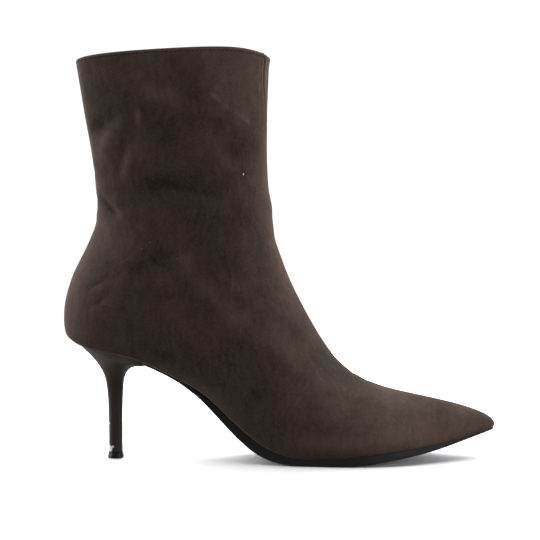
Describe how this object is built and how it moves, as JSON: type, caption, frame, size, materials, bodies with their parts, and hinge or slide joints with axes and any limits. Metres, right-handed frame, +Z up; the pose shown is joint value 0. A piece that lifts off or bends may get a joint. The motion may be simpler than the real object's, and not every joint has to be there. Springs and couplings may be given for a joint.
{
  "type": "ankle boot",
  "caption": "Pointed-toe suede ankle boot for the right foot on a slim covered stiletto heel, hollow and open at the collar, with insole, thin outsole and heel tip.",
  "frame": {"origin": "on the floor, under the middle of the boot's box", "axes": "+X from heel to toe, +Y to the inner side of the foot, +Z up"},
  "size_m": [0.245, 0.0766, 0.2289],
  "materials": {
    "suede": "brushed suede nap, dull, dark brown",
    "insole_leather": "smooth leather sock, matt, brown",
    "sole_rubber": "moulded rubber, matt, black",
    "heel_leather": "smooth covering leather, satin, dark brown",
    "tip_plastic": "moulded plastic, matt, black"
  },
  "bodies": {
    "root": {"upper": "suede", "insole": "insole_leather", "outsole": "sole_rubber", "heel": "heel_leather", "heel_tip": "tip_plastic"}
  },
  "joints": []
}
